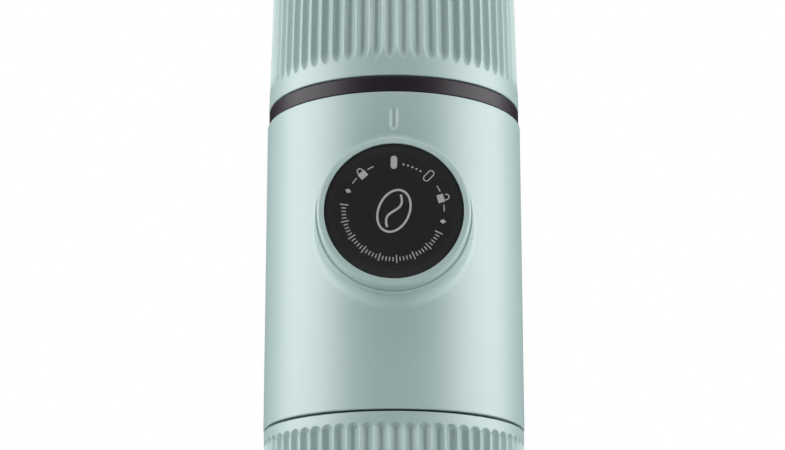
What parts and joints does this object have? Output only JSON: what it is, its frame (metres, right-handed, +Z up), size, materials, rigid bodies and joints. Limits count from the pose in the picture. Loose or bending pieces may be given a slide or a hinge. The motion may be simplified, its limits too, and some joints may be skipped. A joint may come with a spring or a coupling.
{
  "type": "handheld manual espresso maker",
  "caption": "Round handheld manual espresso maker: fluted tank above, smooth body with a push-and-turn pump knob, fluted cup over the outlet below.",
  "frame": {"origin": "centre of the pad under the cup, on the maker's axis, where it stands", "axes": "+Z up towards the water tank, -Y out of the front through the pump knob, +X to the right seen from the front"},
  "size_m": [0.062, 0.071, 0.156],
  "materials": {
    "mint_plastic": "satin",
    "black_plastic": "satin",
    "knob_face": "satin",
    "grey_plastic": "satin",
    "silicone": "matte",
    "steel": "brushed"
  },
  "bodies": {
    "main_body": {"body_shell": "mint_plastic", "guide_bush": "black_plastic", "collar": "black_plastic", "chassis": "black_plastic", "pump_cylinder": "grey_plastic", "valve_block": "black_plastic", "inlet_tube": "grey_plastic", "outlet_tube": "grey_plastic", "inlet_valve": "silicone", "block_seal": "silicone", "inlet_filter": "steel", "pump_spring": "steel", "pump_screws": "steel", "block_screws": "steel", "collar_screws": "steel", "brew_chamber": "black_plastic", "lower_ring": "black_plastic", "brew_screws": "steel", "shower_screen": "steel", "valve_spring": "steel"},
    "valve_ball": {"pressure_ball": "steel"},
    "piston": {"piston_rod": "grey_plastic", "piston_seals": "silicone", "rod_clip": "steel"},
    "knob": {"knob_sleeve": "black_plastic", "knob_ring": "mint_plastic", "knob_disc": "knob_face"},
    "neck_seal": {"tank_seal": "silicone"},
    "tank": {"tank_rim": "black_plastic", "tank_shell": "mint_plastic"},
    "chamber_seal": {"brew_seal": "silicone"},
    "head": {"outlet_head": "black_plastic", "outlet_funnel": "black_plastic", "grip_ring": "silicone", "nozzle": "black_plastic", "basket": "steel"},
    "cup": {"cup_shell": "mint_plastic", "cup_pad": "silicone"},
    "scoop": {"scoop": "black_plastic"}
  },
  "joints": [
    {"name": "piston_stroke", "type": "slide", "parent": "main_body", "child": "piston", "axis": [0, -1, 0], "range_m": [0, 0.02], "deforming": ["pump_spring"]},
    {"name": "knob_turn", "type": "hinge", "parent": "piston", "child": "knob", "pos_m": [0, -0.04, 0.0767], "axis": [0, -1, 0], "range_deg": [0, 44]},
    {"name": "tank_turn", "type": "hinge", "parent": "main_body", "child": "neck_seal", "pos_m": [0, 0, 0.12], "axis": [0, 0, -1], "range_deg": [0, 60]},
    {"name": "tank_lift", "type": "slide", "parent": "neck_seal", "child": "tank", "axis": [0, 0, 1], "range_m": [0, 0.05]},
    {"name": "head_turn", "type": "hinge", "parent": "main_body", "child": "chamber_seal", "pos_m": [0, 0, 0.048], "axis": [0, 0, 1], "range_deg": [0, 60]},
    {"name": "head_drop", "type": "slide", "parent": "chamber_seal", "child": "head", "axis": [0, 0, -1], "range_m": [0, 0.05]},
    {"name": "cup_pull", "type": "slide", "parent": "head", "child": "cup", "axis": [0, 0, -1], "range_m": [0, 0.045]},
    {"name": "scoop_lift", "type": "slide", "parent": "cup", "child": "scoop", "axis": [0, 0, 1], "range_m": [0, 0.008]},
    {"name": "valve_open", "type": "slide", "parent": "main_body", "child": "valve_ball", "axis": [0, 0, -1], "range_m": [0, 0.0007], "stiffness_N_per_m": 150, "springref_m": -0.002, "deforming": ["valve_spring"]}
  ]
}
